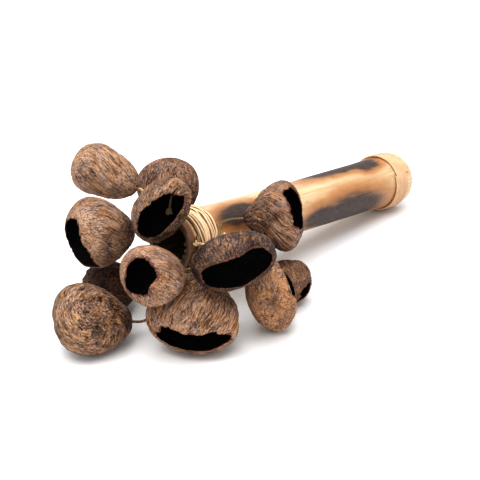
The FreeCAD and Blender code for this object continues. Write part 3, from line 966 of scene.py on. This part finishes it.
# %% Relief of a shell
# For each shell: swirl of its fibres in turns, depth and number of the pleats that gather at
# its apex, and the depths of its dents, its fibres and its slim flanks, in millimetres.
Skin = namedtuple("Skin", "swirl pleat pleats dent fibre slim")
SKINS = {number: Skin(*row) for number, row in {
    1: (0.10, 0.9, 9, 0.9, 0.60, -1.2), 2: (0.02, 0.5, 5, 0.7, 0.26, 1.2),
    3: (0.06, 0.5, 6, 1.0, 0.32, 0.6), 4: (0.08, 1.6, 10, 1.0, 0.32, 1.2),
    5: (0.12, 0.6, 6, 0.8, 0.30, 0.4), 6: (0.04, 0.7, 6, 1.2, 0.40, 1.8),
    7: (0.16, 1.3, 9, 1.0, 0.46, 1.2), 8: (0.30, 0.9, 6, 1.1, 0.42, 0.6),
    9: (0.05, 1.3, 9, 1.1, 0.44, 1.8), 10: (0.22, 1.5, 10, 1.1, 0.50, 1.2),
    11: (0.12, 1.2, 7, 1.0, 0.42, 0.8), 12: (0.10, 0.8, 6, 1.0, 0.36, 0.8)}.items()}
# The pole that fibres run from, if it isn't the apex, and how much they run round it instead.
POLES = {8: ((0.17, -0.42, -0.89), 4.0)}


def fibre_place(points, number):
    """Fibre coordinates: cosine and sine of the turn round the nut, drawn together at its
    ends by the root of the sine of the angle from the pole, and that angle itself. Also the
    turn and the angle from the apex, for pleats."""
    pole, rings = POLES.get(number, ((-1.0, 0.0, 0.0), 1.0))
    halves = np.array(NUTS[number].size) / 2
    way = points / halves
    way = way / np.linalg.norm(way, axis=-1, keepdims=True)
    level = unit(np.cross(pole, [0.0, 0.0, 1.0]))
    fall = np.arccos(np.clip(way @ np.array(pole), -1, 1))
    wander = 0.10 * noise(points / 9.0, number) + 0.025 * noise(points / 3.0, number + 50)
    turn = np.arctan2(way @ np.cross(pole, level), way @ level) \
        + TURN * SKINS[number].swirl * (1 - np.cos(fall)) + wander
    drawn = np.sqrt(np.clip(np.sin(fall), 0, 1)) / rings
    fibre = on_circle(turn, drawn, (fall + wander * (rings > 1)) * rings)
    apex = np.arccos(np.clip(-points[..., 0] / halves[0], -1, 1))
    return fibre, np.arctan2(points[..., 2], points[..., 1]) + wander, apex


def wall_relief(points, turn, fall, number):
    """Depth that the whole wall sinks: flanks that slim towards the apex, wide dents, and
    pleats that gather there."""
    skin = SKINS[number]
    flanks = skin.slim * np.exp(-((fall - 0.85) / 0.5) ** 2)
    dents = 1.9 * skin.dent * (0.5 - 0.5 * layered(points / 9.0, 2, number + 7))
    ridge = 1 - np.abs(np.sin(skin.pleats / 2 * turn + 1.5 * noise(points / 6.0, number + 9)))
    pleats = skin.pleat * ridge ** 2 * np.exp(-(fall / 0.95) ** 2)
    eye = 0.9 * np.exp(-(fall / 0.13) ** 2)
    return flanks + dents + pleats + eye


def skin_relief(fibre, points, number):
    """Depth that only the outer skin sinks: long fibres, their fine strands and small pits."""
    long_fibres = layered(fibre * [15.0, 15.0, 1.3] + 3.0 * number, 2, number + 3)
    strands = noise(fibre * [27.0, 27.0, 2.6] + 3.0 * number, number + 5)
    pits = np.clip(noise(points / 1.4, number + 13) - 0.25, 0, 1)
    return SKINS[number].fibre * (0.7 - 0.8 * long_fibres - 0.4 * strands) + 0.55 * pits


print("angle from shell 5's apex", np.degrees(fibre_place(np.eye(3)[:1] * -9.0, 5)[2]))

# %% [markdown]
# ## Nutshells: ways out from the middle
# Skin, broken face and inner wall use the same directions, polar about the opening: the angle
# from its outward direction, called the fall, and the turn round it. Near the edge the turn
# follows the outline; away from it the turns even out, so that columns don't bunch.

# %% Ways out and the chipped edge
COLUMNS = 240
EVEN = np.linspace(0, TURN, COLUMNS, endpoint=False)
# Pieces missing from an edge: where round it, half as wide as what, both in degrees, and how
# deep in radians. The narrow one is a crack.
BITES = {3: [(14, 1.8, 0.22), (100, 12, 0.06)], 4: [(300, 12, 0.07)], 5: [(240, 14, 0.09)],
         6: [(60, 10, 0.05), (150, 14, 0.06)], 7: [(120, 10, 0.05)], 8: [(278, 38, 0.16)],
         9: [(60, 12, 0.06)]}


def opening_edge(number):
    """The outline's fall in each column, and its turn, unwound so that it keeps pace with
    the even turns."""
    across, up = outline_slopes(number, EVEN)
    swing = np.unwrap(np.arctan2(up, across))
    swing += TURN * np.round((EVEN - swing).mean() / TURN)
    return np.arctan(np.hypot(across, up)), swing


def ways_out(number, swing, fall, share):
    """Unit directions: cosine of the fall outwards, plus its sine towards the turn. The share
    of the way from the edge to the far pole says how far the turn has evened out."""
    outward, long_way, short_way = opening_axes(number)
    settled = np.clip(share / 0.5, 0, 1) ** 2 * (3 - 2 * np.clip(share / 0.5, 0, 1))
    turn = swing + (EVEN - swing) * settled
    return np.cos(fall)[..., None] * outward + np.sin(fall)[..., None] * (
        np.cos(turn)[..., None] * long_way + np.sin(turn)[..., None] * short_way)


def chips(number, row, size):
    """How far the edge has broken away, in radians: the bites, and noise at three sizes over
    the shell's own size, the middle one squared off into teeth."""
    bites = sum((depth * np.exp(-(((np.degrees(EVEN) - turn + 180) % 360 - 180) / wide) ** 2)
                 for turn, wide, depth in BITES.get(number, [])), np.zeros(COLUMNS))
    teeth = np.tanh(4.0 * ring_noise(EVEN, 21, row * 0.3, number + 21))
    return bites + (1.3 * ring_noise(EVEN, 9, row * 0.1, number + 20) + 0.65 * teeth
                    + 0.8 * ring_noise(EVEN, 64, row, number + 22)) / size


print("the edge has", COLUMNS, "columns and", sum(map(len, BITES.values())), "bites")

# %% [markdown]
# ## Nutshells: one grid for the whole wall
# The rings run from the skin's far pole to the broken edge, over the broken face, and down
# the inner wall to its far pole: one closed surface with a real thickness. Solidify would
# leave an even, square edge, and a husk hasn't one.

# %% Skin, broken face and inner wall
OUTER_ROWS = 104
EDGE_ROWS = 5
INNER_ROWS = 40


def outer_skin(number, swing, brim):
    """Points of the skin from the edge to the far pole, their fibre coordinates, and a painted
    shade that grows with how deep each lies in a furrow or dent, strongest at the apex."""
    share = np.linspace(0, 1, OUTER_ROWS, endpoint=False)[:, None]
    way = ways_out(number, swing, brim + (math.pi - brim) * share, share)
    skin = egg_skin(number, way)
    fibre, turn, apex = fibre_place(skin, number)
    sunk = wall_relief(skin, turn, apex, number)
    worked = skin_relief(fibre, skin, number)
    crumbled = 0.30 * np.exp(-share * OUTER_ROWS / 1.2)
    depth = np.maximum(sunk + worked + crumbled, -0.10)
    # Painted shade: deeper furrows and dents, and the puckered apex, are darker.
    hollow = np.clip(worked, -0.3, 1.0) / 0.6 + 0.3 * sunk + 1.1 * np.exp(-(apex / 0.55) ** 2)
    return skin - way * depth[..., None], fibre, hollow


def inner_wall(number, swing, lip):
    """Points of the inner wall from the edge to the far pole, and fibre coordinates. Its egg
    is a wall smaller; it sinks where the skin does, and the wall is thinner at the edge."""
    share = np.linspace(0, 1, INNER_ROWS, endpoint=False)[:, None]
    way = ways_out(number, swing, lip + (math.pi - lip) * share, share)
    skin = egg_skin(number, way)
    fibre, turn, apex = fibre_place(skin, number)
    sunk = wall_relief(skin, turn, apex, number)
    ripple = 0.12 * layered(skin / 2.5, 2, number + 31)
    thinned = 0.9 * np.exp(-share * INNER_ROWS / 7.0)
    return egg_skin(number, way, NUT_WALL) - way * (sunk + ripple - thinned)[..., None], fibre


def nut_rings(number):
    """Rings of a whole shell, its end points and three marks: fibre coordinates, how far
    through the wall a point lies (0 skin, 1 to 2 broken face, 3 inside), and the painted shade of
    its furrows."""
    size = np.mean(NUTS[number].size) / 2
    edge, swing = opening_edge(number)
    brim = edge + chips(number, 0.0, size)
    lip = edge + chips(number, 4.0, size) * 0.85
    outer, fibre, hollow = outer_skin(number, swing, brim)
    inner, fibre_in = inner_wall(number, swing, lip)

    layer = np.arange(1, EDGE_ROWS + 1)[:, None] / (EDGE_ROWS + 1)
    ragged = np.concatenate([0.30 * ring_noise(EVEN, 60, 3.0 * row, number + 41)[None]
                             + 0.15 * ring_noise(EVEN, 90, 3.0 * row, number + 42)[None]
                             for row in range(EDGE_ROWS)]) / size
    fall = brim * (1 - layer) + lip * layer + ragged - 0.016 * np.sin(math.pi * layer)
    top, floor = np.linalg.norm(outer[0], axis=-1), np.linalg.norm(inner[0], axis=-1)
    broken = ways_out(number, swing, fall, np.zeros_like(fall)) \
        * (top * (1 - layer) + floor * layer)[..., None]

    column = np.ones(COLUMNS)
    through = np.concatenate([np.zeros((OUTER_ROWS - 1, COLUMNS)), [0.8 * column],
                              1.0 + layer * column, np.full((INNER_ROWS, COLUMNS), 3.0)])
    fibres = np.concatenate([fibre[::-1], np.broadcast_to(fibre[0], broken.shape), fibre_in])
    relief_shades = np.concatenate([hollow[::-1], np.zeros((EDGE_ROWS + INNER_ROWS, COLUMNS))])
    ends = np.stack([outer[-1].mean(axis=0), inner[-1].mean(axis=0)])
    return np.concatenate([outer[::-1], broken, inner]), ends, {
        "fibre": fibres, "through": through, "hollow": relief_shades}


rings, ends, marks = nut_rings(5)
print("shell 5 has", rings.shape[:2], "rings and columns, and is",
      np.round(np.ptp(rings.reshape(-1, 3), axis=0), 1), "mm")

# %% [markdown]
# ## Nutshells: the finish
# The husk's skin is dry: dark brown furrows between tan fibres, darker still where the relief
# sinks and at the apex, as painted shade, with blue-grey specks of mould and a reddish, raw
# edge where it broke, darkened in part as painted shade. Inside it is painted nearly black, as
# painted shade in the hollow. Noise in fibre coordinates runs with the relief, as a wrapped
# picture wouldn't. Each shell has its own tint, tan and specks, since no two nuts dried alike;
# shell 12's darker tint is partly painted shade.

# %% Nutshell finish
# For each shell: tint of its skin, how much tan shows, and how much of it is specked.
# Shell 12's darker tint is partly painted shade, since it lies low behind the others.
TINTS = {1: ((1.24, 1.20, 1.17), 0.20, 0.12), 2: ((0.90, 0.82, 0.82), 0.06, 0.32),
         3: ((1.02, 0.99, 0.98), 0.04, 0.12), 4: ((1.02, 0.98, 0.96), 0.15, 0.08),
         5: ((1.00, 0.93, 0.90), 0.14, 0.06), 6: ((0.66, 0.61, 0.61), 0.02, 0.42),
         7: ((0.95, 0.88, 0.87), 0.16, 0.06), 8: ((0.86, 0.80, 0.74), 0.13, 0.12),
         9: ((1.06, 0.98, 0.93), 0.19, 0.08), 10: ((1.34, 1.18, 1.02), 0.18, 0.12),
         11: ((0.98, 0.86, 0.80), 0.10, 0.08), 12: ((0.50, 0.44, 0.44), -0.03, 0.05)}


def husk_skin(number, fibre, place, hollow, streaks, strands, crumbs):
    """Colour of the outer skin: tan where fibres catch the light and dark where they part,
    darker where the relief sinks as painted shade, times the shell's tint and a slow change of
    warmth, then mould, pits and seams over it."""
    tint, tan, speck_share = TINTS[number]
    patches = place.scaled(85.0).rough(3.0, number)
    # Where the relief sinks, the tone is darker, as painted shade.
    tone = streaks * 1.15 + strands * 1.20 + patches * 0.95 + crumbs * 0.40 - 1.345 \
        + (0.7 - hollow) * 0.20 + tan
    skin = mix(1.0, tone.shades([
        (0.26, (0.013, 0.009, 0.008)), (0.38, (0.065, 0.038, 0.027)),
        (0.50, (0.158, 0.099, 0.068)), (0.63, (0.266, 0.177, 0.127)),
        (0.85, (0.446, 0.316, 0.236))]), tint, "MULTIPLY")
    warmth = place.scaled(130.0).rough(4.0, 8.0 + number, 0.7) * 0.6 \
        + fibre.scaled(30.0, 30.0, 3.0).rough(2.0, 9.0 * number) * 0.4
    warm = warmth.shades([(0.36, (0.58, 0.63, 0.76)), (0.48, (0.97, 0.96, 0.96)),
                          (0.55, (1.0, 0.89, 0.71)), (0.64, (1.0, 0.80, 0.52))])
    skin = mix(1.0, skin, warm.scaled(1.1), "MULTIPLY")
    mould = place.scaled(260.0).rough(4.0, 20.0 + number, 0.7)
    mould = mould.step(0.64 - 0.26 * speck_share, 0.70 - 0.24 * speck_share)
    skin = mix(mould * (1.1 - strands * 0.5) * 0.85, skin, (0.030, 0.034, 0.042))
    pits = (fibre.scaled(44.0, 44.0, 3.2).rough(1.5, 7.0 * number) * 0.75
            + crumbs * 0.25).step(0.40, 0.35)
    skin = mix(pits * 0.85, skin, (0.014, 0.009, 0.008))
    seams = fibre.scaled(13.0, 13.0, 1.0).rough(2.0, 11.0 * number) - 0.5
    seams = seams.math("ABSOLUTE", seams).step(0.040, 0.012)
    return mix(seams * patches.step(0.35, 0.60) * 0.70, skin, (0.022, 0.014, 0.011))


def shell_finish(number):
    """Fibres from noise in fibre coordinates, and three zones through the wall: skin, raw
    edge darkened in part as painted shade, and an inside painted nearly black as painted shade."""
    material, tap = new_finish("nutshell_%02d_skin" % number)
    place, fibre = tap.place(), tap.mark("fibre", 1)
    through, hollow = tap.mark("through"), tap.mark("hollow")
    streaks = fibre.scaled(25.0, 25.0, 1.3).rough(4.0, 3.0 * number, 0.65)
    strands = fibre.scaled(84.0, 84.0, 3.6).rough(2.0, 5.0 * number, 0.6)
    crumbs = place.scaled(1300.0).rough(2.0, number)
    skin = husk_skin(number, fibre, place, hollow, streaks, strands, crumbs)
    # The raw edge is reddish, darkened in part as painted shade.
    raw_edge_and_shade = (strands * 0.6 + crumbs * 0.4).shades([
        (0.36, (0.034, 0.014, 0.009)), (0.50, (0.125, 0.053, 0.032)),
        (0.66, (0.290, 0.145, 0.088))])
    # The inside is painted nearly black, as painted shade in the hollow.
    dark = crumbs.shades([(0.35, (0.006, 0.0045, 0.005)), (0.60, (0.016, 0.012, 0.012)),
                          (0.74, (0.075, 0.060, 0.055))])
    colour = mix(through.step(0.15, 0.95), skin, raw_edge_and_shade)
    colour = mix((through + (crumbs - 0.5) * 0.8).step(1.75, 2.7), colour, dark)
    close_finish(tap, {"Base Color": colour,
                       "Roughness": 0.58 + streaks * 0.30 - strands * 0.12,
                       "Specular IOR Level": 0.28},
                 streaks * 0.6 + strands * 0.5 + crumbs * 0.3, 0.5 * MM)
    return material


print("nutshells have", len(TINTS), "tints")

# %% Twelve nutshells
for number in NUTS:
    rings, ends, marks = nut_rings(number)
    axes, centre = nut_axes(number) * MM, nut_centre(number)
    label = "%02d" % number
    make_piece("nutshell_%s_husk" % label, [(centre + rings @ axes, centre + ends @ axes, marks)],
               "nutshell_%s_body" % label, shell_finish(number),
               ["nutshell_" + label])
    print("nutshell", label, "is broken open and finished")

# %% [markdown]
# ## Floor and light
# The rattle lies on a seamless pale floor under a bright even surround, a wide soft lamp above
# and to the left, and a weaker one in front. Small lamps would cut hard shadows; wide ones
# give the faint, melting shadows of a studio.

# %% Floor and surround
FLOOR_HALF = 6.0
SURROUND_STRENGTH = 0.66
floor_mesh = bpy.data.meshes.new("floor")
floor_mesh.from_pydata([(-FLOOR_HALF, -FLOOR_HALF, 0), (FLOOR_HALF, -FLOOR_HALF, 0),
                        (FLOOR_HALF, FLOOR_HALF, 0), (-FLOOR_HALF, FLOOR_HALF, 0)], [],
                       [(0, 1, 2, 3)])
paper, tap = new_finish("pale_floor")
close_finish(tap, {"Base Color": (0.80, 0.80, 0.805, 1.0), "Roughness": 0.9,
                   "Specular IOR Level": 0.1})
floor_mesh.materials.append(paper)
floor = show("floor", floor_mesh)

world = bpy.data.worlds.new("surround")
world.use_nodes = True
surround = world.node_tree.nodes["Background"].inputs
surround["Color"].default_value = (1.0, 1.0, 1.0, 1.0)
surround["Strength"].default_value = SURROUND_STRENGTH
bpy.context.scene.world = world
print("the floor is", 2 * FLOOR_HALF, "m wide")

# %% Lamps
MIDDLE = np.array([0.0, 0.0, 0.03])


def soft_lamp(name, place, size, watts):
    """A square lamp at a place. Its -Z axis points along the way to the rattle's middle."""
    lamp = bpy.data.lights.new(name, "AREA")
    lamp.size = size
    lamp.energy = watts
    back = unit(np.array(place) - MIDDLE)
    level = unit(np.cross([0.0, 0.0, 1.0], back))
    aim(show(name, lamp), [level, np.cross(back, level), back], place)


soft_lamp("overhead_lamp", (-0.42, -0.05, 1.85), 1.9, 37.0)
soft_lamp("front_lamp", (-1.3, -0.6, 1.2), 1.2, 4.5)
bpy.context.scene.view_settings.view_transform = "Standard"
bpy.context.scene.view_settings.look = "High Contrast"
print("lamps:", ", ".join(lamp.name for lamp in bpy.data.lights))
